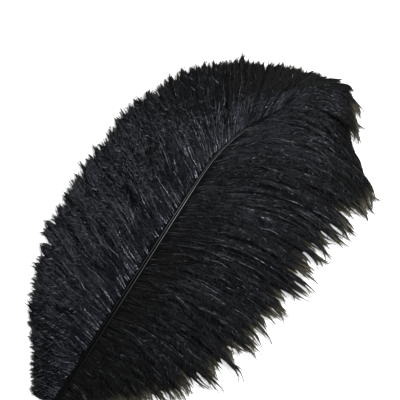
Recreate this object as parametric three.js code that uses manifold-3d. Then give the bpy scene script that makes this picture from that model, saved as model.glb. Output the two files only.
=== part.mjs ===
// An ostrich plume lying on a table: one shaft, bare at the quill, whose loose barbs hang together in locks.
// Millimetres, +Z up. X runs along the shaft to the tip, the left vane is on the +Y side, the table is Z = 0.
import * as THREE from "three";
import { mergeVertices } from "three/addons/utils/BufferGeometryUtils.js";
import Module from "manifold-3d";

const { degToRad, lerp, smoothstep } = THREE.MathUtils;

// Shaft: its distances are measured along it from the cut end of the quill.
const SHAFT_LENGTH = 455;
const QUILL_LENGTH = 48;
const TIP_TURN = degToRad(29);
const TURN_START = 305;
const TURN_END = 415;
const SHAFT_RADIUS = { at: [0, 14, 60, 150, 300, 455], mm: [1.9, 2.7, 3, 2.5, 1.5, 0.6] };
const SHAFT_HEIGHT = { at: [0, 60, 150, 260, 360, 455], mm: [2, 7, 15, 19, 18, 12] };
const SHAFT_SIDES = 8;
const SHAFT_STEPS = 26;

// Vanes: SHARE is how far up the barbed stretch of the shaft a lock grows. For each share there follow the
// lock's angles from the shaft at its root and at its tip, in degrees, and its length along its curve.
// A lock rises by its crest half way out and dips by its valley beside the shaft: shares of its root height.
const SHARE = [0, 0.08, 0.16, 0.28, 0.42, 0.56, 0.7, 0.82, 0.92, 1];
const LEFT_VANE = {
  side: 1,
  rootAngle: [102, 93, 80, 68, 64, 61, 52, 38, 22, 4],
  tipAngle: [112, 104, 92, 77, 68, 63, 54, 38, 4, -62],
  length: [24, 44, 74, 107, 120, 115, 101, 72, 55, 52],
  crest: 0.16,
  valley: 0,
};
const RIGHT_VANE = {
  side: -1,
  rootAngle: [96, 90, 82, 70, 60, 50, 38, 24, 12, 2],
  tipAngle: [128, 124, 118, 112, 108, 106, 102, 104, 102, 96],
  length: [38, 65, 99, 129, 146, 156, 167, 150, 98, 56],
  crest: 0.2,
  valley: 0.42,
};
const BEND_POWER = 1.2; // how late along its length a lock makes its bend
const DROOP_POWER = 2.2; // how late along its length a lock comes down to the table
const VALLEY_END = 0.36; // share of its length where a lock is out of the dip

// Locks: flat blades, lens-shaped across, that narrow to the root and to the tip
const LOCKS_PER_VANE = 30;
const LOCK_HALF_WIDTH = 11;
const LAST_HALF_WIDTH = 6; // of the locks at the tip of the shaft
const CROWDED_FROM = 0.75; // share of the vane where locks begin to crowd together
const LOCK_HALF_THICKNESS = 1.8;
const LOCK_SIDES = 4;
const LOCK_STEPS = 6;
const ROOT_NARROWING = 0.55; // share of the full size that a lock has at its root
const FULL_SIZE_AT = 0.5;
const TIP_POWER = 5; // how late along its length a lock narrows to its tip
const TIP_HALF_SIZE = 0.5;

// How far locks differ from their neighbours, from the least to the most
const ANGLE_SPREAD = degToRad(9);
const LENGTH_SPREAD = 0.14;
const LIFT_SPREAD = 0.2;
const SCATTER = { perLock: 12.9898, perTrait: 78.233, stretch: 43758.5453 };
const TRAIT = { angle: 2, length: 5, lift: 8 };

const PLUME_BLACK = new THREE.MeshStandardMaterial({ color: 0x17181b, roughness: 0.6, metalness: 0 });
const UP = new THREE.Vector3(0, 0, 1);

const wasm = await Module();
wasm.setup();

// The value at x on straight lines through the given points.
function valueAt(x, positions, values) {
  return new THREE.LinearInterpolant(positions, values, 1).evaluate(x)[0];
}

// A repeatable number from -0.5 to 0.5 for one trait of lock n.
function scatter(n, trait) {
  const wave = Math.sin(n * SCATTER.perLock + trait * SCATTER.perTrait) * SCATTER.stretch;
  return wave - Math.floor(wave) - 0.5;
}

// The shaft is straight up to its turn, and bends to the right near the tip.
function shaftHeading(distance) {
  return -TIP_TURN * smoothstep(distance, TURN_START, TURN_END);
}

function shaftPoint(distance) {
  const steps = Math.max(1, Math.round(distance));
  const step = distance / steps;
  const point = new THREE.Vector3(0, 0, valueAt(distance, SHAFT_HEIGHT.at, SHAFT_HEIGHT.mm));
  for (let i = 0; i < steps; i++) {
    const heading = shaftHeading((i + 0.5) * step);
    point.x += Math.cos(heading) * step;
    point.y += Math.sin(heading) * step;
  }
  return point;
}

// A closed tube along a path of points, with a ring across each. sizeAt gives the ring's half width and half
// thickness at a share of the path.
function tubeAlong(path, sizeAt, sides) {
  const steps = path.length - 1;
  const geometry = new THREE.CylinderGeometry(1, 1, 1, sides, steps);
  const position = geometry.getAttribute("position");
  const onRing = new THREE.Vector3();
  for (let i = 0; i < position.count; i++) {
    onRing.fromBufferAttribute(position, i);
    const step = Math.round((onRing.y + 0.5) * steps);
    const before = path[Math.max(0, step - 1)];
    const after = path[Math.min(steps, step + 1)];
    const forward = after.clone().sub(before).normalize();
    const across = forward.clone().cross(UP).normalize();
    const normal = across.clone().cross(forward);
    const [halfWidth, halfThickness] = sizeAt(step / steps);
    const vertex = path[step].clone();
    vertex.addScaledVector(across, onRing.x * halfWidth);
    vertex.addScaledVector(normal, onRing.z * halfThickness);
    position.setXYZ(i, vertex.x, vertex.y, vertex.z);
  }
  return geometry;
}

function shaftTube() {
  const path = [];
  for (let i = 0; i <= SHAFT_STEPS; i++) {
    path.push(shaftPoint((i / SHAFT_STEPS) * SHAFT_LENGTH));
  }
  const sizeAt = (share) => {
    const radius = valueAt(share * SHAFT_LENGTH, SHAFT_RADIUS.at, SHAFT_RADIUS.mm);
    return [radius, radius];
  };
  return tubeAlong(path, sizeAt, SHAFT_SIDES);
}

// Height of a lock's middle line, t of the way from its root on the shaft to its tip on the table.
function lockHeight(t, rootHeight, vane, lift) {
  const droop = lerp(rootHeight, TIP_HALF_SIZE, t ** DROOP_POWER);
  const crest = (vane.crest + lift) * Math.sin(Math.PI * t) ** 2;
  const valley = vane.valley * Math.sin(Math.PI * Math.min(1, t / VALLEY_END)) ** 2;
  return droop + rootHeight * (crest - valley);
}

function lockSize(t, halfWidth) {
  const swell = lerp(ROOT_NARROWING, 1, smoothstep(t, 0, FULL_SIZE_AT)) * Math.sqrt(1 - t ** TIP_POWER);
  return [lerp(TIP_HALF_SIZE, halfWidth, swell), lerp(TIP_HALF_SIZE, LOCK_HALF_THICKNESS, swell)];
}

// Lock n of a vane, counted from the quill, leaves the shaft at one angle and bends to another.
function lockBlade(vane, n) {
  const share = n / (LOCKS_PER_VANE - 1);
  const distance = lerp(QUILL_LENGTH, SHAFT_LENGTH, share);
  const differs = (trait) => scatter(n, trait + vane.side);
  const rootAngle = degToRad(valueAt(share, SHARE, vane.rootAngle));
  const tipAngle = degToRad(valueAt(share, SHARE, vane.tipAngle)) + ANGLE_SPREAD * differs(TRAIT.angle);
  const length = valueAt(share, SHARE, vane.length) * (1 + LENGTH_SPREAD * differs(TRAIT.length));
  const lift = LIFT_SPREAD * differs(TRAIT.lift);

  const root = shaftPoint(distance);
  const path = [root];
  for (let i = 1; i <= LOCK_STEPS; i++) {
    const angle = lerp(rootAngle, tipAngle, ((i - 0.5) / LOCK_STEPS) ** BEND_POWER);
    const heading = shaftHeading(distance) + vane.side * angle;
    const next = path[i - 1].clone();
    next.x += (Math.cos(heading) * length) / LOCK_STEPS;
    next.y += (Math.sin(heading) * length) / LOCK_STEPS;
    next.z = lockHeight(i / LOCK_STEPS, root.z, vane, lift);
    path.push(next);
  }
  const halfWidth = lerp(LOCK_HALF_WIDTH, LAST_HALF_WIDTH, smoothstep(share, CROWDED_FROM, 1));
  return tubeAlong(path, (t) => lockSize(t, halfWidth), LOCK_SIDES);
}

function solidOf(geometry) {
  geometry.deleteAttribute("normal");
  geometry.deleteAttribute("uv");
  const merged = mergeVertices(geometry);
  const vertProperties = merged.getAttribute("position").array;
  const triVerts = new Uint32Array(merged.index.array);
  return new wasm.Manifold(new wasm.Mesh({ numProp: 3, vertProperties, triVerts }));
}

function geometryOf(solid) {
  const { vertProperties, triVerts } = solid.getMesh();
  const geometry = new THREE.BufferGeometry();
  geometry.setAttribute("position", new THREE.BufferAttribute(vertProperties, 3));
  geometry.setIndex(new THREE.BufferAttribute(triVerts, 1));
  return geometry;
}

// A feather grows as one piece, so its locks are joined to the shaft that they grow from.
function featherSolid() {
  let solid = solidOf(shaftTube());
  for (const vane of [LEFT_VANE, RIGHT_VANE]) {
    for (let n = 0; n < LOCKS_PER_VANE; n++) {
      solid = solid.add(solidOf(lockBlade(vane, n)));
    }
  }
  return solid;
}

// The origin is on the table, under the middle of the plume.
const geometry = geometryOf(featherSolid());
geometry.computeBoundingBox();
const { min, max } = geometry.boundingBox;
geometry.translate(-(min.x + max.x) / 2, -(min.y + max.y) / 2, -min.z);
geometry.computeVertexNormals();

const feather = new THREE.Mesh(geometry, PLUME_BLACK);
feather.name = "feather";

const plume = new THREE.Group();
plume.add(feather);
export default plume;
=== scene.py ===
from collections import namedtuple

import bpy
import numpy as np
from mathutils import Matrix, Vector


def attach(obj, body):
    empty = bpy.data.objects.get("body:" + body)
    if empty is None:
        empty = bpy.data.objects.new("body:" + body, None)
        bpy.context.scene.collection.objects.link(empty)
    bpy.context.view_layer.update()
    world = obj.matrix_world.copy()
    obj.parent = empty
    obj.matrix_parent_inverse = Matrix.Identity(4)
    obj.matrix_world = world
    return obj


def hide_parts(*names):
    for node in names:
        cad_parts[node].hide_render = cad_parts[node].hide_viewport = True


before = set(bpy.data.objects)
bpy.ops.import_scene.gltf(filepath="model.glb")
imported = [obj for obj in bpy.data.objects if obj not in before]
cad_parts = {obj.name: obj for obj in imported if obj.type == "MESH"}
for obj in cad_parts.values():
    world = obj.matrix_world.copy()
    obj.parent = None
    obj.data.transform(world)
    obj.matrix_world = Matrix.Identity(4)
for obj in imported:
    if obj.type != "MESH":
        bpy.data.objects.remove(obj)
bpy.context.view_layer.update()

MM = 0.001
rng = np.random.default_rng(8)

# Shaft, as in the solid
SHAFT_LENGTH = 455.0
QUILL_LENGTH = 48.0
TIP_TURN = np.radians(29)
TURN_START = 305.0
TURN_END = 415.0
SHAFT_RADIUS_AT = [0, 14, 60, 150, 300, 455]
SHAFT_RADIUS = [1.9, 2.7, 3.0, 2.5, 1.5, 0.6]
SHAFT_HEIGHT_AT = [0, 60, 150, 260, 360, 455]
SHAFT_HEIGHT = [2, 7, 15, 19, 18, 12]
SHAFT_STEP = 2.5
LINE_STEP = 0.5

# The quill is round. A groove begins in it, with a highlight painted pale on its edges further up. Near the
# tip barb roots cover it.
GROOVE_START = 0.5 * QUILL_LENGTH
GROOVE_END = 1.6 * QUILL_LENGTH
PAINTED_HIGHLIGHT_AT = [0, 80, 150, 230, 285, 315, 350, 400, 455]
PAINTED_HIGHLIGHT = [0, 0.02, 0.06, 0.36, 0.95, 0.65, 0.5, 0.36, 0.1]
COVERED_FROM = 345.0
COVERED_TO = 450.0
COVERED_LIFT = 1.2

# The grooved section, from its right edge over the top and back underneath: across and height as shares of
# the radius, and how strongly its painted highlight shows there
SHAFT_SECTION = [
    (1.0, -0.1, 0.0),
    (0.9, 0.4, 0.0),
    (0.76, 0.68, 0.0),
    (0.68, 0.74, 1.0),
    (0.56, 0.74, 1.0),
    (0.5, 0.62, 0.0),
    (0.0, 0.32, 0.0),
    (-0.46, 0.62, 0.0),
    (-0.5, 0.74, 0.3),
    (-0.68, 0.74, 0.3),
    (-0.76, 0.68, 0.0),
    (-0.9, 0.4, 0.0),
    (-1.0, -0.1, 0.0),
    (-0.75, -0.65, 0.0),
    (0.0, -0.9, 0.0),
    (0.75, -0.65, 0.0),
]

# Vanes, close to those of the solid. A list has a value for each of these shares of the shaft's barbed
# stretch. Angles are in degrees, those of roots and tips from the shaft.
SHARE = [0, 0.08, 0.16, 0.28, 0.42, 0.56, 0.7, 0.82, 0.92, 1]
LEFT_VANE = {
    "name": "left",
    "side": 1,
    "root_angle": [102, 93, 80, 68, 64, 61, 52, 38, 22, 4],
    "tip_angle": [112, 104, 92, 77, 68, 63, 54, 38, -4, -66],
    "length": [28, 50, 84, 117, 122, 121, 106, 77, 60, 55],
    "ragged": [0.05, 0.05, 0.05, 0.05, 0.05, 0.05, 0.05, 0.05, 0.08, 0.12],  # share that a tuft may lack
    "clump_ragged": 0.03,  # share that a whole clump may lack
    "clump_pull": 0.2,  # how far the tips of a clump are drawn together
    "clump_tip": 8.0,  # length over which they are
    "glossy": (0.0, 0.4),  # tones of glossy barbs
    "crest": 0.16,  # rise half way out, as a share of the root's height
    "dome": 5.0,  # how far the edges of a lock lie below its middle
    "turn": [0.5, 0.5, 0.5, 0.5, 0.5, 0.5, 0.5, 0.7, 1.2, 1.6],  # how far tufts differ in direction
    "dull": [0.1, 0.1, 0.1, 0.1, 0.1, 0.1, 0.1, 0.12, 0.15, 0.3],  # share of dull barbs, at the least
    "dull_root_and_shade": [0, 0, 0, 0, 0, 0, 0, 0, 0, 0],  # and near the root
    "dull_tip": [0.3, 0.3, 0.3, 0.3, 0.3, 0.35, 0.75, 0.97, 0.98, 0.98],  # and near the tip
    "dull_tip_from": (0.2, 0.55),  # where along a barb that begins, and is reached
    "barb_reach": (0.95, 1.0),  # share of its tuft's length that a barb has
    "free_tip": 5.0,  # length of a tuft's tip, where its barbs close up and fan out
    "tip_fan": 1.5,  # how far they fan out
    "wisp": [0.05, 0.05, 0.05, 0.05, 0.05, 0.05, 0.05, 0.05, 0.05, 0.05],  # share that a wisp may add
    "faded": 9.0,  # length of the tips faded to brown
    "lock_sway": 2.4,  # how far locks sway to the sides
    "weave": 0.5,  # how far barbs rise and fall
    "roll": 30.0,  # how far barbs roll to and fro
    "roll_length": (30.0, 80.0),  # length over which they do
    "tuft_spread": 1.9,  # half the width of a tuft
    "tuft_pull": 0.1,  # how far its barbs close up at the tip
    "down_width": 1.5,  # half the width of the down along a barb
    "down_reach": (0.96, 0.99),  # share of the barb that it covers
    "tip_curl": [10, 10, 10, 10, 10, 10, 8, 7, 10, 16],  # how far tips curl to either side
}
RIGHT_VANE = {
    "name": "right",
    "side": -1,
    "root_angle": [96, 90, 82, 70, 60, 50, 38, 26, 12, 2],
    "tip_angle": [128, 124, 118, 112, 108, 106, 108, 116, 114, 98],
    "length": [41, 58, 100, 149, 168, 181, 198, 183, 112, 73],
    "ragged": [0.08, 0.08, 0.08, 0.08, 0.08, 0.08, 0.1, 0.14, 0.16, 0.16],
    "clump_ragged": 0.08,
    "clump_pull": 0.65,
    "clump_tip": 18.0,
    "glossy": (0.2, 0.66),
    "crest": 0.2,
    "dome": 3.0,
    "turn": [0.5, 0.5, 0.5, 0.5, 0.5, 0.7, 1.2, 2.5, 3.5, 3.5],
    "dull": [1, 0.95, 0.8, 0.5, 0.45, 0.42, 0.4, 0.4, 0.45, 0.6],
    # The dull roots here are partly the plume's own dullness and partly painted shade, matte barbs where
    # shade falls beside the shaft.
    "dull_root_and_shade": [1, 1, 1, 0.95, 0.9, 0.7, 0.3, 0, 0, 0],
    "dull_tip": [0, 0, 0, 0, 0.1, 0.4, 0.8, 0.97, 0.97, 0.97],
    "dull_tip_from": (0.3, 0.75),
    "barb_reach": (0.9, 1.0),
    "free_tip": 12.0,
    "tip_fan": 2.2,
    "wisp": [0.14, 0.14, 0.14, 0.13, 0.1, 0.04, 0, 0, 0, 0],
    "faded": 46.0,
    "lock_sway": 1.8,
    "weave": 1.2,
    "roll": 44.0,
    "roll_length": (14.0, 36.0),
    "tuft_spread": 1.6,
    "tuft_pull": 0.6,
    "down_width": 1.15,
    "down_reach": (0.97, 1.0),
    "tip_curl": [18, 18, 18, 18, 18, 18, 16, 18, 24, 24],
}
BEND_POWER = 1.2  # how late along its length a tuft makes its bend
DROOP_POWER = 2.2  # how late along its length a tuft comes down to the table
TIP_HEIGHT = 1.4
TABLE_CLEARANCE = 0.15

# Tufts grow in locks, which sway and arch together, and in smaller clumps, whose tips are drawn together.
# Some tufts are wisps, whose tips stand out from the rest.
LOCKS = 30
LOCK_SWAY_LENGTH = 100.0
LOCK_LIFT = (-0.14, 0.1)
LOCK_LEAN = np.radians(20)
CLUMPS = 110
GROUP_EDGE_SPREAD = 0.3
TUFTS = 156
TUFT_PLACE = (0.2, 0.8)
SWAY = 0.7
SWAY_LENGTH = (22.0, 48.0)
CURL_START = 0.85
WISP_SHARE = 0.13
WISP_LENGTH = (0.4, 1.0)
# Where along a barb the dull roots, partly painted shade, give way.
DULL_AND_SHADED_ROOT_END = (0.12, 0.58)

# Stray tufts lie across the others
STRAYS = 20
STRAY_END = 0.78
STRAY_TURN = 10.0
STRAY_REACH = 0.75
STRAY_LIFT = 0.12
STRAY_SPREAD = 0.6

# A tuft is a few barbs side by side. BARB_AT has the points along a barb, as shares of its length.
BARBS_PER_TUFT = 4
BARB_AT = np.array(
    [0, 0.06, 0.13, 0.2, 0.28, 0.36, 0.44, 0.52, 0.6, 0.68, 0.76, 0.83, 0.88, 0.92, 0.95, 0.975, 1]
)
BARB_MIDDLES = (BARB_AT[1:] + BARB_AT[:-1]) / 2
BARB_HALF_WIDTH = 0.3
BARB_RIDGE = 0.12
BARB_SWAY = 0.8
BARB_SWAY_LENGTH = (14.0, 40.0)
BARB_APART_SPREAD = 0.2
BARB_RISE_SPREAD = 1.0
TUFT_DOME = 0.6
TUFT_ROLL = np.radians(18)
TUFT_ROOT_WIDTH = 0.3
TUFT_FULL_AT = 0.4
WEAVE_LENGTH = (24.0, 60.0)
PLACES = ("lower", "middle", "upper")

# Tones from 0 to 1: glossy barbs have the lowest, then come dull ones, then tips faded to brown. On the
# shaft the tone is how strong its painted highlight is.
DOWN_TONE = (0.0, 0.6)
DULL_TONE = 0.71

# Matted down lies along each barb, and a bed of it under each lock
DOWN_AT = np.array([0, 0.12, 0.35, 0.6, 0.8, 0.88, 0.93, 0.97, 1])
DOWN_HALF_THICKNESS = 0.35
DOWN_DROP = 0.9
DROPPED_AT = 0.12
BLADE_ROOT_WIDTH = 0.5
BLADE_FULL_AT = 0.35
BLADE_TIP_WIDTH = 0.35
BLADE_TIP_SIZE = 0.05
BED_HALF_WIDTH = 9.0
BED_HALF_THICKNESS = 0.6
BED_DROP = 5.0
BED_REACH = 0.88
BED_POINT = 18.0

# Barbules are spikes with three corners. Near a barb's tip they close up to it and are shorter. Tilts are in
# radians, and pairs are the least and the most that a value is multiplied by.
BARBULES_PER_MM = 1.2
BARBULE_START = 0.05
BARBULE_RADIUS = 0.2
BARBULE_CORNERS = np.radians([90, 210, 330])
BARBULE_ANGLE = np.radians(40)
BARBULE_ANGLE_SPREAD = (0.4, 1.5)
BARBULE_TILT = 0.2
BARBULE_TILT_SPREAD = 0.4
BARBULE_LENGTH = 5.5
BARBULE_LENGTH_SPREAD = (0.5, 1.2)
BARBULE_ROOT_LENGTH = 0.4
BARBULE_FULL_AT = 0.2
CLOSE_UP_FROM = 0.7
CLOSE_UP = 0.35
SHORTER_FROM = 0.8
SHORTER = 0.6
SPIKE_VERTICES = 4
SPIKE_TRIANGLES = np.array([[0, 1, 3], [1, 2, 3], [2, 0, 3], [2, 1, 0]])

# Material slots
SHAFT_SLOT = 0
BARB_SLOT = 0
BARBULE_SLOT = 1
DOWN_SLOT = 2
DULL_SLOT = 3
DULL_FROM = 0.7


def smoothstep(x, low, high):
    t = np.clip((x - low) / (high - low), 0, 1)
    return t * t * (3 - 2 * t)


def from_root(t, root_share, full_at):
    """Grows from a share of the full size at the root to all of it, at these shares of a length."""
    return root_share + (1 - root_share) * smoothstep(t, 0, full_at)


def unit(vectors):
    return vectors / np.linalg.norm(vectors, axis=-1, keepdims=True)


# The shaft's middle line
LINE_AT = np.arange(0, SHAFT_LENGTH + LINE_STEP, LINE_STEP)


def shaft_heading(distance):
    return -TIP_TURN * smoothstep(distance, TURN_START, TURN_END)


def shaft_line():
    heading = shaft_heading(LINE_AT[:-1] + LINE_STEP / 2)
    x = np.concatenate([[0], np.cumsum(np.cos(heading)) * LINE_STEP])
    y = np.concatenate([[0], np.cumsum(np.sin(heading)) * LINE_STEP])
    z = np.interp(LINE_AT, SHAFT_HEIGHT_AT, SHAFT_HEIGHT)
    return np.stack([x, y, z], 1)


LINE = shaft_line()


def shaft_points(distance):
    return np.stack([np.interp(distance, LINE_AT, LINE[:, i]) for i in range(3)], 1)


def shaft_radius(distance):
    return np.interp(distance, SHAFT_RADIUS_AT, SHAFT_RADIUS)


def quill_end():
    """Where the quill's cut end is in the frame: at the solid's vertices with the lowest x."""
    points = np.array([v.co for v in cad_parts["feather"].data.vertices])
    low = points[:, 0].min()
    return np.array([low, points[points[:, 0] < low + MM][:, 1].mean(), 0.0])


QUILL_END = quill_end()

# Meshes from arrays. Along and tone are two values from 0 to 1 for each vertex, which the materials read.
# The map for baking is laid out by them, and neighbouring vertices stand a little apart on it.
Shape = namedtuple("Shape", ["vertices", "triangles", "along", "tone", "slot"])
MAP_NAME = "OFBake"
MAP_EDGE = 0.02
MAP_SPREAD = 0.008
GOLDEN_ANGLE = 2.4
SHARP_ANGLE = np.radians(60)


def bake_map(mesh, shape):
    turn = np.arange(len(shape.along)) * GOLDEN_ANGLE
    place = MAP_EDGE + (1 - 2 * MAP_EDGE) * np.stack([shape.along, shape.tone], 1)
    place += MAP_SPREAD * np.stack([np.cos(turn), np.sin(turn)], 1)
    layer = mesh.uv_layers.new(name=MAP_NAME)
    layer.uv.foreach_set("vector", place[shape.triangles.ravel()].astype(np.float32).ravel())


def joined(shapes):
    """One shape from several, with a slot for each triangle."""
    starts = np.cumsum([0] + [len(shape.vertices) for shape in shapes])
    return Shape(
        vertices=np.concatenate([shape.vertices for shape in shapes]),
        triangles=np.concatenate([shape.triangles + start for shape, start in zip(shapes, starts)]),
        along=np.concatenate([shape.along for shape in shapes]),
        tone=np.concatenate([shape.tone for shape in shapes]),
        slot=np.concatenate([np.full(len(shape.triangles), shape.slot) for shape in shapes]),
    )


def with_dull_slots(shape, materials):
    """The slot of each triangle, where dull barbs and barbules take the dull material if there is one."""
    dull = (shape.slot != DOWN_SLOT) & (shape.tone[shape.triangles].mean(axis=1) > DULL_FROM)
    return np.where(dull & (len(materials) > DULL_SLOT), DULL_SLOT, shape.slot)


def new_mesh(name, shape, materials):
    vertices = shape.vertices * MM + QUILL_END
    vertices[:, 2] = np.maximum(vertices[:, 2], TABLE_CLEARANCE * MM)
    corners = shape.triangles.astype(np.int32).ravel()

    mesh = bpy.data.meshes.new(name)
    mesh.vertices.add(len(vertices))
    mesh.vertices.foreach_set("co", vertices.astype(np.float32).ravel())
    mesh.loops.add(len(corners))
    mesh.loops.foreach_set("vertex_index", corners)
    mesh.polygons.add(len(shape.triangles))
    mesh.polygons.foreach_set("loop_start", np.arange(0, len(corners), 3, dtype=np.int32))
    for material in materials:
        mesh.materials.append(material)
    mesh.polygons.foreach_set("material_index", with_dull_slots(shape, materials).astype(np.int32))
    for label, values in (("along", shape.along), ("tone", shape.tone)):
        attribute = mesh.attributes.new(label, "FLOAT", "POINT")
        attribute.data.foreach_set("value", values.astype(np.float32))
    bake_map(mesh, shape)
    mesh.update(calc_edges=True)
    mesh.shade_smooth()
    mesh.set_sharp_from_angle(angle=SHARP_ANGLE)
    return mesh


def new_piece(name, shapes, materials):
    piece = bpy.data.objects.new(name, new_mesh(name, joined(shapes), materials))
    bpy.context.scene.collection.objects.link(piece)
    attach(piece, "root")
    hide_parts("feather")


def tube_triangles(tubes, rings, sides):
    """Triangles of closed tubes whose vertices run ring by ring, with a cap at each end."""
    ring = np.arange(rings - 1)[:, None] * sides
    this = np.arange(sides)
    a = ring + this
    b = ring + (this + 1) % sides
    walls = np.stack([a, a + sides, b + sides, a, b + sides, b], -1).reshape(-1, 3)
    fan = np.stack([np.zeros(sides - 2, int), this[1:-1], this[2:]], 1)
    last = fan[:, ::-1] + (rings - 1) * sides
    one = np.concatenate([walls, fan, last])
    return (one[None] + np.arange(tubes)[:, None, None] * rings * sides).reshape(-1, 3)


def frames_along(paths):
    """Unit vectors forward, to the right and up at each point of the paths."""
    forward = unit(np.gradient(paths, axis=1))
    right = unit(np.cross(forward, [0, 0, 1]))
    return forward, right, np.cross(right, forward)


def ringed_shape(rings, t, tone, slot):
    """Closed tubes from their rings of vertices, where a tube's rings are at the shares t of its length."""
    tubes, steps, sides, _ = rings.shape
    return Shape(
        vertices=rings.reshape(-1, 3),
        triangles=tube_triangles(tubes, steps, sides),
        along=np.tile(np.repeat(t, sides), tubes),
        tone=np.repeat(tone.ravel(), sides),
        slot=slot,
    )


def places_on(shares):
    """For shares of a barb's length, the point before each and how far on to the next one it is."""
    at = np.interp(shares, BARB_AT, np.arange(len(BARB_AT)))
    low = np.minimum(at.astype(int), len(BARB_AT) - 2)
    return low, (at - low)[..., None]


def part_of(paths, reach, shares):
    """Points of the paths at these shares of their length, up to the share of it that they reach."""
    low, part = places_on(shares[None] * np.reshape(reach, (-1, 1)))
    row = np.arange(len(paths))[:, None]
    return paths[row, low] * (1 - part) + paths[row, low + 1] * part


def end_of(length, shares, end):
    """Rises from 0 to 1 over the last stretch of each length, at these shares of it."""
    return smoothstep((shares - 1) * np.reshape(length, (-1, 1)), -np.reshape(end, (-1, 1)), 0)


# Shaft
def shaft_shape():
    distance = np.linspace(0, SHAFT_LENGTH, int(SHAFT_LENGTH / SHAFT_STEP) + 1)
    path = shaft_points(distance)
    _, right, up = (vectors[0] for vectors in frames_along(path[None]))
    section = np.array(SHAFT_SECTION)
    sides = len(section)
    angle = np.arctan2(section[:, 1], section[:, 0])
    round_section = np.stack([np.cos(angle), np.sin(angle)], 1)
    grooved = smoothstep(distance, GROOVE_START, GROOVE_END)[:, None, None]
    outline = round_section * (1 - grooved) + section[:, :2] * grooved
    outline = outline * shaft_radius(distance)[:, None, None]
    vertices = path[:, None] + outline[..., :1] * right[:, None] + outline[..., 1:] * up[:, None]
    # The tone is a painted highlight, pale along the edges of the groove.
    return Shape(
        vertices=vertices.reshape(-1, 3),
        triangles=tube_triangles(1, len(distance), sides),
        along=np.repeat(distance / SHAFT_LENGTH, sides),
        tone=(section[:, 2] * np.interp(distance, PAINTED_HIGHLIGHT_AT, PAINTED_HIGHLIGHT)[:, None]).ravel(),
        slot=SHAFT_SLOT,
    )


# Tufts
def waves(length, wave_lengths):
    """A sine wave along each barb, with a wave length and a start of its own."""
    count = len(length)
    turns = BARB_AT * (length / rng.uniform(*wave_lengths, count))[:, None]
    return np.sin(2 * np.pi * (turns + rng.uniform(0, 1, count)[:, None]))


def grouped(share, groups):
    """The group that each tuft of a vane falls in, where groups differ in size."""
    spread = rng.uniform(-GROUP_EDGE_SPREAD, GROUP_EDGE_SPREAD, groups - 1)
    edges = (np.arange(1, groups) + spread) / groups
    return np.searchsorted(edges, share)


def lower_edges(paths, group, dome):
    """Lets the tufts at the edges of each group lie lower than those in its middle."""
    for n in np.unique(group):
        members = np.flatnonzero(group == n)
        place = np.linspace(-1, 1, len(members) + 2)[1:-1]
        paths[members, :, 2] -= (place**2)[:, None] * dome


def vane_shares():
    """Where the tufts of a vane grow, evenly but for the strays, and which are strays."""
    even = (np.arange(TUFTS) + rng.uniform(*TUFT_PLACE, TUFTS)) / TUFTS
    share = np.concatenate([even, rng.uniform(0, STRAY_END, STRAYS)])
    order = np.argsort(share)
    return share[order], order >= TUFTS


def tuft_bends(vane, share, stray):
    """Angles from the shaft along the tufts, in radians, between one point and the next."""
    t = BARB_MIDDLES
    turn = rng.normal(0, np.where(stray, STRAY_TURN, np.interp(share, SHARE, vane["turn"])))
    root = np.interp(share, SHARE, vane["root_angle"]) + turn
    tip = np.interp(share, SHARE, vane["tip_angle"]) + turn
    bend = np.radians(root[:, None] + (tip - root)[:, None] * t**BEND_POWER)
    curl = np.radians(rng.normal(0, np.interp(share, SHARE, vane["tip_curl"])))
    return bend + curl[:, None] * smoothstep(t, CURL_START, 1)


def add_sway(paths, length, lock, vane):
    """Lets the tufts of a lock sway together, and each a little by itself."""
    turns = BARB_AT * (length / LOCK_SWAY_LENGTH)[:, None] + rng.uniform(0, 1, LOCKS)[lock][:, None]
    lock_sway = vane["lock_sway"] * (length / length.max())[:, None] * np.sin(2 * np.pi * turns)
    sway = SWAY * waves(length, SWAY_LENGTH) + lock_sway
    paths += (sway * np.sin(np.pi * BARB_AT))[..., None] * frames_along(paths)[1]


def gather_tips(paths, length, clump, vane):
    """Draws the tips of each clump of tufts together."""
    pull = vane["clump_pull"] * end_of(length, BARB_AT, vane["clump_tip"])
    for n in np.unique(clump):
        members = clump == n
        middle = paths[members].mean(axis=0)
        paths[members] += (middle - paths[members]) * pull[members][..., None]


def dull_share(vane, share):
    """The share of barbs that are dull, along each tuft."""
    all_over, root, tip = (
        np.interp(share, SHARE, vane[name])[:, None] for name in ("dull", "dull_root_and_shade", "dull_tip")
    )
    # Near the root the dull barbs are partly painted shade, standing in for the shade beside the shaft.
    near_root = root * (1 - smoothstep(BARB_AT, *DULL_AND_SHADED_ROOT_END))
    near_tip = tip * smoothstep(BARB_AT, *vane["dull_tip_from"])
    return np.maximum(np.maximum(near_root, near_tip), all_over)


def pick_tones(dull, faded, draws, vane):
    """A tone for each of the draws, glossy or dull by chance, and faded where that is more."""
    glossy = rng.uniform(*vane["glossy"], draws)
    return np.maximum(np.where(dull > rng.uniform(0, 1, draws), DULL_TONE, glossy), faded)


def tuft_lengths(vane, share, stray):
    """How long the tufts are, how much of that stands out as a wisp, and the clumps they are in."""
    count = len(share)
    length = np.interp(share, SHARE, vane["length"]) * np.where(stray, STRAY_REACH, 1)
    length *= 1 - np.interp(share, SHARE, vane["ragged"]) * rng.uniform(0, 1, count)
    clump = np.where(stray, CLUMPS + np.arange(count), grouped(share, CLUMPS))
    length *= 1 - vane["clump_ragged"] * rng.uniform(0, 1, CLUMPS + count)[clump]
    wisp = np.interp(share, SHARE, vane["wisp"]) * length * rng.uniform(*WISP_LENGTH, count)
    wisp *= (rng.uniform(0, 1, count) < WISP_SHARE) & ~stray
    return length + wisp, wisp, clump


def tuft_roots(vane, distance):
    """Where the tufts grow: from the shaft's middle line, and near its tip from over its far side."""
    covered = shaft_radius(distance) * smoothstep(distance, COVERED_FROM, COVERED_TO)
    moved = np.stack([0 * covered, -vane["side"] * covered, COVERED_LIFT * covered], 1)
    return shaft_points(distance) + moved


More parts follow.
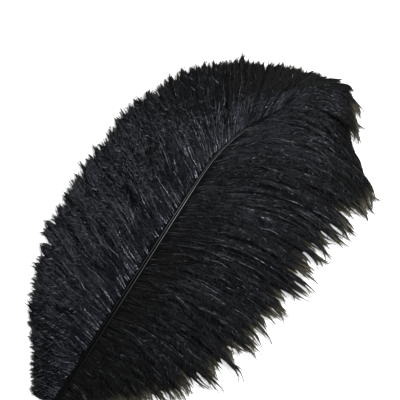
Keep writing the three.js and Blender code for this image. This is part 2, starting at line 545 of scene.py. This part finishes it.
def tuft_paths(vane):
    """Middle lines of the vane's tufts, with their lengths, locks, dullness and free tips, and which of them
    are strays."""
    share, stray = vane_shares()
    lock = grouped(share, LOCKS)
    length, wisp, clump = tuft_lengths(vane, share, stray)
    distance = QUILL_LENGTH + share * (SHAFT_LENGTH - QUILL_LENGTH)
    heading = shaft_heading(distance)[:, None] + vane["side"] * tuft_bends(vane, share, stray)
    step = length[:, None] * np.diff(BARB_AT)

    roots = tuft_roots(vane, distance)
    paths = np.repeat(roots[:, None], len(BARB_AT), axis=1)
    paths[:, 1:, 0] += np.cumsum(np.cos(heading) * step, axis=1)
    paths[:, 1:, 1] += np.cumsum(np.sin(heading) * step, axis=1)

    height = roots[:, 2:]
    lift = np.where(stray, STRAY_LIFT, rng.uniform(*LOCK_LIFT, LOCKS)[lock])
    rise = (vane["crest"] + lift)[:, None] * np.sin(np.pi * BARB_AT) ** 2
    drooped = BARB_AT * np.where(stray, STRAY_REACH, 1)[:, None]
    paths[:, :, 2] = height + (TIP_HEIGHT - height) * drooped**DROOP_POWER + height * rise
    add_sway(paths, length, lock, vane)
    gather_tips(paths, length, clump, vane)
    lower_edges(paths, lock, vane["dome"] * np.sin(np.pi * BARB_AT))
    return {
        "paths": paths,
        "length": length,
        "lock": lock,
        "dull": dull_share(vane, share),
        "stray": stray,
        "free": vane["free_tip"] + wisp,
    }


def some_of(tufts, chosen):
    return {name: values[chosen] for name, values in tufts.items()}


# Barbs
def barb_paths(tufts, vane):
    """Single barbs, which lie side by side over a tuft: what tuft_paths gives for a tuft, and how far to the
    right in its tuft each lies, from about -1 to 1."""
    t = BARB_AT
    barbs = {name: np.repeat(values, BARBS_PER_TUFT, axis=0) for name, values in tufts.items()}
    count = len(barbs["length"])
    reach = rng.uniform(*vane["barb_reach"], count)
    length = barbs["length"] * reach
    side_by_side = np.tile(np.linspace(-1, 1, BARBS_PER_TUFT), count // BARBS_PER_TUFT)
    apart = side_by_side + rng.normal(0, BARB_APART_SPREAD, count)
    paths = part_of(barbs["paths"], reach, t)

    at_tip = end_of(length, t, barbs["free"])
    widest = vane["tuft_spread"] * np.where(barbs["stray"], STRAY_SPREAD, 1)[:, None]
    spread = widest * from_root(t, TUFT_ROOT_WIDTH, TUFT_FULL_AT) * (1 - vane["tuft_pull"] * at_tip)
    sway = BARB_SWAY * waves(length, BARB_SWAY_LENGTH)
    fan = rng.normal(0, vane["tip_fan"], count)[:, None] * at_tip
    aside = apart[:, None] * spread + sway * np.sin(np.pi * t) + fan
    paths += aside[..., None] * frames_along(paths)[1]

    domed = rng.normal(0, BARB_RISE_SPREAD, count) - TUFT_DOME * apart**2
    rise = domed[:, None] + vane["weave"] * waves(length, WEAVE_LENGTH)
    paths[:, :, 2] += rise * np.sin(np.pi * t)
    return {**barbs, "paths": paths, "length": length, "apart": apart}


def barb_shape(barbs, vane):
    """Barbs as thin ridged strips, which lean with their lock and their tuft's roundness, and roll."""
    paths = barbs["paths"]
    length = barbs["length"]
    _, right, up = frames_along(paths)
    lean = rng.normal(0, LOCK_LEAN, LOCKS)[barbs["lock"]] - TUFT_ROLL * barbs["apart"]
    tuft_waves = waves(length[::BARBS_PER_TUFT], vane["roll_length"])
    roll = np.radians(vane["roll"]) * np.repeat(tuft_waves, BARBS_PER_TUFT, axis=0) + lean[:, None]
    roll = roll[..., None]
    across = BARB_HALF_WIDTH * (np.cos(roll) * right + np.sin(roll) * up)
    over = BARB_RIDGE * (np.cos(roll) * up - np.sin(roll) * right)
    rings = np.stack([paths + across, paths + over, paths - across], axis=2)
    faded = end_of(length, BARB_AT, vane["faded"]) * ~barbs["stray"][:, None]
    tone = pick_tones(barbs["dull"], faded, (len(paths), 1), vane)
    return ringed_shape(rings, BARB_AT, tone, BARB_SLOT)


# Down
def blade_shape(paths, t, length, half_width, half_thickness, point, faded):
    """Matted down as flat blades, lens-shaped across, that come to a point over their last stretch."""
    _, right, up = frames_along(paths)
    size = 1 - end_of(length, t, point)[..., None]
    width = BLADE_TIP_WIDTH + half_width * size * from_root(t, BLADE_ROOT_WIDTH, BLADE_FULL_AT)[:, None]
    across = width * right
    over = (BLADE_TIP_SIZE + half_thickness * size) * up
    rings = np.stack([paths + across, paths + over, paths - across, paths - over], axis=2)
    tone = np.maximum(rng.uniform(*DOWN_TONE, len(paths))[:, None], end_of(length, t, faded))
    return ringed_shape(rings, t, tone, DOWN_SLOT)


def down_shape(barbs, vane):
    """A blade along each barb, a little below it."""
    reach = rng.uniform(*vane["down_reach"], len(barbs["paths"]))
    paths = part_of(barbs["paths"], reach, DOWN_AT)
    paths[:, :, 2] -= DOWN_DROP * smoothstep(DOWN_AT, 0, DROPPED_AT)
    size = vane["down_width"], DOWN_HALF_THICKNESS
    return blade_shape(paths, DOWN_AT, barbs["length"] * reach, *size, barbs["free"], vane["faded"])


def bed_shape(tufts, vane):
    """A bed blade along the middle of each lock, and one between every two locks."""
    members = [tufts["lock"] == n for n in np.unique(tufts["lock"])]
    middles = np.stack([tufts["paths"][chosen].mean(axis=0) for chosen in members])
    lengths = np.array([tufts["length"][chosen].mean() for chosen in members])
    between = (middles[1:] + middles[:-1]) / 2
    lengths = np.concatenate([lengths, (lengths[1:] + lengths[:-1]) / 2])
    paths = part_of(np.concatenate([middles, between]), BED_REACH, BARB_AT)
    paths[:, :, 2] -= BED_DROP * smoothstep(BARB_AT, 0, DROPPED_AT)
    paths[:, :, 2] = np.maximum(paths[:, :, 2], BED_HALF_THICKNESS + BLADE_TIP_SIZE + TABLE_CLEARANCE)
    size = BED_HALF_WIDTH, BED_HALF_THICKNESS
    return blade_shape(paths, BARB_AT, lengths * BED_REACH, *size, BED_POINT, vane["faded"])


# Barbules
def barbule_directions(t, forward, right, up):
    """Barbules point forward and to either side of their barb, and a little up or down."""
    count = len(t)
    hand = rng.choice([-1.0, 1.0], count)[:, None]
    closed_up = 1 - CLOSE_UP * smoothstep(t, CLOSE_UP_FROM, 1)
    angle = (BARBULE_ANGLE * rng.uniform(*BARBULE_ANGLE_SPREAD, count) * closed_up)[:, None]
    tilt = rng.normal(BARBULE_TILT, BARBULE_TILT_SPREAD, count)[:, None]
    outward = hand * np.cos(tilt) * right + np.sin(tilt) * up
    return unit(np.cos(angle) * forward + np.sin(angle) * outward)


def barbule_lengths(t):
    grown = from_root(t, BARBULE_ROOT_LENGTH, BARBULE_FULL_AT)
    grown *= 1 - SHORTER * smoothstep(t, SHORTER_FROM, 1)
    return BARBULE_LENGTH * grown * rng.uniform(*BARBULE_LENGTH_SPREAD, len(t))


def spike_vertices(base, tip, direction, up):
    """Three corners around the base of each spike, and its tip."""
    first = unit(np.cross(direction, up))
    second = np.cross(direction, first)
    corners = []
    for angle in BARBULE_CORNERS:
        corners.append(base + BARBULE_RADIUS * (np.cos(angle) * first + np.sin(angle) * second))
    return np.stack([*corners, tip], axis=1).reshape(-1, 3)


def barbule_shape(barbs, vane):
    """Barbules as thin spikes on both sides of the barbs."""
    paths = barbs["paths"]
    length = barbs["length"]
    barb = np.repeat(np.arange(len(paths)), np.round(length * BARBULES_PER_MM).astype(int))
    count = len(barb)
    t = rng.uniform(BARBULE_START, 1, count)
    low, part = places_on(t)
    base, forward, right, up = (
        values[barb, low] * (1 - part) + values[barb, low + 1] * part
        for values in (paths, *frames_along(paths))
    )
    direction = barbule_directions(t, forward, right, up)
    tip = base + direction * barbule_lengths(t)[:, None]
    faded = smoothstep((t - 1) * length[barb], -vane["faded"], 0) * ~barbs["stray"][barb]
    tone = pick_tones(barbs["dull"][barb, low], faded, count, vane)
    starts = np.arange(count)[:, None, None] * SPIKE_VERTICES
    return Shape(
        vertices=spike_vertices(base, tip, direction, up),
        triangles=(SPIKE_TRIANGLES[None] + starts).reshape(-1, 3),
        along=np.repeat(t, SPIKE_VERTICES),
        tone=np.repeat(tone, SPIKE_VERTICES),
        slot=BARBULE_SLOT,
    )


def vane_pieces(vane, materials):
    """A bed of down, and the barbs in three pieces that have about the same length of barbs in all."""
    tufts = tuft_paths(vane)
    bed = bed_shape(some_of(tufts, ~tufts["stray"]), vane)
    new_piece(f"{vane['name']}_down_bed", [bed], materials)
    filled = np.cumsum(tufts["length"]) / tufts["length"].sum()
    for n, place in enumerate(PLACES):
        chosen = (filled > n / len(PLACES)) & (filled <= (n + 1) / len(PLACES))
        barbs = barb_paths(some_of(tufts, chosen), vane)
        downy = some_of(barbs, ~barbs["stray"])
        shapes = [down_shape(downy, vane), barb_shape(barbs, vane), barbule_shape(barbs, vane)]
        new_piece(f"{vane['name']}_barbs_{place}", shapes, materials)


# Materials: colour and gloss follow the tone that each vertex holds, and grain its place along the barb too.
# Colours and roughness are given at tones.
WHITE = (1.0, 1.0, 1.0, 1.0)
SHEEN_BLUE = (0.82, 0.88, 1.0, 1.0)
# The shaft's pale tone is a painted highlight on the edges of its groove.
SHAFT_BLACK_AND_PAINTED_HIGHLIGHT = [(0.0, (0.002, 0.002, 0.002)), (1.0, (0.4, 0.405, 0.41))]
# Glossy barbs, at tone 0, are painted bluish: a painted sheen on their black.
BARB_COLOURS_AND_PAINTED_SHEEN = [(0.0, (0.0022, 0.0033, 0.0062)), (0.65, (0.003, 0.003, 0.0033))]
DULL_COLOURS = [
    (0.72, (0.004, 0.004, 0.0037)),
    (0.86, (0.045, 0.041, 0.03)),
    (1.0, (0.11, 0.1, 0.073)),
]
DOWN_COLOURS = [
    (0.0, (0.002, 0.002, 0.0025)),
    (0.65, (0.003, 0.003, 0.003)),
    (1.0, (0.03, 0.027, 0.02)),
]
GRAIN_SCALE = 60.0
GRAIN_SHARE = 0.25
BUMP_STRENGTH = 0.3
BUMP_HEIGHT = 0.0002


def ramp_node(nodes, stops):
    ramp = nodes.new("ShaderNodeValToRGB")
    elements = ramp.color_ramp.elements
    while len(elements) < len(stops):
        elements.new(0.5)  # its own position follows
    for element, (position, colour) in zip(elements, stops):
        element.position = position
        element.color = (*colour, 1)
    return ramp


def add_grain(nodes, links, values, roughness, shader):
    """Fine grain in the roughness and in the surface."""
    place = nodes.new("ShaderNodeCombineXYZ")
    links.new(values["along"], place.inputs["X"])
    links.new(values["tone"], place.inputs["Y"])
    grain = nodes.new("ShaderNodeTexNoise")
    grain.inputs["Scale"].default_value = GRAIN_SCALE
    links.new(place.outputs["Vector"], grain.inputs["Vector"])
    uneven = nodes.new("ShaderNodeMath")
    uneven.operation = "MULTIPLY_ADD"
    uneven.inputs[1].default_value = GRAIN_SHARE
    links.new(grain.outputs["Fac"], uneven.inputs[0])
    links.new(roughness, uneven.inputs[2])
    links.new(uneven.outputs["Value"], shader.inputs["Roughness"])
    bump = nodes.new("ShaderNodeBump")
    bump.inputs["Strength"].default_value = BUMP_STRENGTH
    bump.inputs["Distance"].default_value = BUMP_HEIGHT
    links.new(grain.outputs["Fac"], bump.inputs["Height"])
    links.new(bump.outputs["Normal"], shader.inputs["Normal"])


def plume_material(name, colours, roughness, specular, tint):
    material = bpy.data.materials.new(name)
    material.use_nodes = True
    nodes = material.node_tree.nodes
    links = material.node_tree.links
    shader = nodes["Principled BSDF"]
    values = {}
    for value in ("along", "tone"):
        node = nodes.new("ShaderNodeAttribute")
        node.attribute_name = value
        values[value] = node.outputs["Fac"]
    hue = ramp_node(nodes, colours)
    links.new(values["tone"], hue.inputs["Fac"])
    links.new(hue.outputs["Color"], shader.inputs["Base Color"])
    gloss = ramp_node(nodes, [(position, (level,) * 3) for position, level in roughness])
    links.new(values["tone"], gloss.inputs["Fac"])
    add_grain(nodes, links, values, gloss.outputs["Color"], shader)
    shader.inputs["Specular IOR Level"].default_value = specular
    shader.inputs["Specular Tint"].default_value = tint
    return material


def shaft_black():
    roughness = [(0.0, 0.6), (1.0, 0.4)]
    return plume_material("plume_shaft", SHAFT_BLACK_AND_PAINTED_HIGHLIGHT, roughness, specular=0.04, tint=WHITE)


def barb_black():
    roughness = [(0.0, 0.13), (0.6, 0.34)]
    return plume_material("plume_barbs", BARB_COLOURS_AND_PAINTED_SHEEN, roughness, specular=0.52, tint=SHEEN_BLUE)


def barbule_black():
    roughness = [(0.0, 0.14), (0.6, 0.36)]
    return plume_material("plume_barbules", BARB_COLOURS_AND_PAINTED_SHEEN, roughness, specular=0.34, tint=SHEEN_BLUE)


def down_black():
    roughness = [(0.0, 0.7), (1.0, 0.75)]
    return plume_material("plume_down", DOWN_COLOURS, roughness, specular=0.03, tint=WHITE)


def dull_black():
    roughness = [(0.7, 0.5), (1.0, 0.7)]
    return plume_material("plume_dull", DULL_COLOURS, roughness, specular=0.1, tint=WHITE)


# The plume's pieces. The vanes' materials are in the order of their slots.
plume_blacks = [barb_black(), barbule_black(), down_black(), dull_black()]
new_piece("shaft", [shaft_shape()], [shaft_black()])
vane_pieces(LEFT_VANE, plume_blacks)
vane_pieces(RIGHT_VANE, plume_blacks)

# Table, in metres
TABLE_HALF = 3.0
TABLE_WHITE = (0.9, 0.9, 0.9, 1)
TABLE_ROUGHNESS = 0.9
TABLE_GLOW = 0.35


def make_table():
    mesh = bpy.data.meshes.new("table")
    corners = [(-1, -1), (1, -1), (1, 1), (-1, 1)]
    mesh.from_pydata([(x * TABLE_HALF, y * TABLE_HALF, 0) for x, y in corners], [], [(0, 1, 2, 3)])
    material = bpy.data.materials.new("pale_table")
    material.use_nodes = True
    shader = material.node_tree.nodes["Principled BSDF"]
    shader.inputs["Base Color"].default_value = TABLE_WHITE
    shader.inputs["Roughness"].default_value = TABLE_ROUGHNESS
    shader.inputs["Emission Color"].default_value = WHITE
    shader.inputs["Emission Strength"].default_value = TABLE_GLOW
    mesh.materials.append(material)
    table = bpy.data.objects.new("table", mesh)
    bpy.context.scene.collection.objects.link(table)


make_table()

# Camera: straight above, turned so that the shaft leans to the right as in the photograph. The frame's width
# is in metres, and its middle in millimetres from the quill's end.
SHAFT_LEAN = np.radians(57.2)
IMAGE_RIGHT = np.array([np.cos(SHAFT_LEAN), -np.sin(SHAFT_LEAN), 0])
IMAGE_UP = np.array([np.sin(SHAFT_LEAN), np.cos(SHAFT_LEAN), 0])
UPWARD = np.array([0.0, 0.0, 1.0])
FRAME_WIDTH = 0.4
MIDDLE_FROM_QUILL = np.array([296.8, -12.1, 10.0])
FRAME_MIDDLE = Vector(MIDDLE_FROM_QUILL * MM + QUILL_END)
LENS = 120
SENSOR = 36


def make_camera():
    data = bpy.data.cameras.new("camera")
    data.lens = LENS
    data.sensor_width = SENSOR
    camera = bpy.data.objects.new("camera", data)
    bpy.context.scene.collection.objects.link(camera)
    camera.location = FRAME_MIDDLE + Vector((0, 0, FRAME_WIDTH * LENS / SENSOR))
    camera.rotation_euler = (0, 0, -SHAFT_LEAN)
    bpy.context.scene.camera = camera


make_camera()

# Light: distances and sizes are in metres, and directions are from the middle of the frame
LIGHT_COLOUR = (0.96, 0.98, 1.0)
KEY_DIRECTION = 0.8 * IMAGE_RIGHT + 0.45 * IMAGE_UP + 1.1 * UPWARD
FILL_DIRECTION = -0.35 * IMAGE_RIGHT + 0.35 * IMAGE_UP + 1.4 * UPWARD
RIM_DIRECTION = 0.7 * IMAGE_RIGHT - 0.7 * IMAGE_UP + 1.0 * UPWARD
WORLD_STRENGTH = 0.03


def area_light(name, towards, distance, size, power):
    data = bpy.data.lights.new(name, "AREA")
    data.shape = "DISK"
    data.size = size
    data.energy = power
    data.color = LIGHT_COLOUR
    light = bpy.data.objects.new(name, data)
    bpy.context.scene.collection.objects.link(light)
    direction = Vector(towards).normalized()
    light.location = FRAME_MIDDLE + direction * distance
    light.rotation_euler = direction.to_track_quat("Z", "Y").to_euler()


def make_world():
    world = bpy.data.worlds.new("studio")
    world.use_nodes = True
    background = world.node_tree.nodes["Background"]
    background.inputs["Color"].default_value = WHITE
    background.inputs["Strength"].default_value = WORLD_STRENGTH
    bpy.context.scene.world = world


area_light("key", KEY_DIRECTION, distance=1.6, size=0.35, power=36)
area_light("fill", FILL_DIRECTION, distance=1.8, size=0.8, power=15)
area_light("rim", RIM_DIRECTION, distance=1.8, size=0.5, power=4)
make_world()
bpy.context.scene.view_settings.view_transform = "Standard"
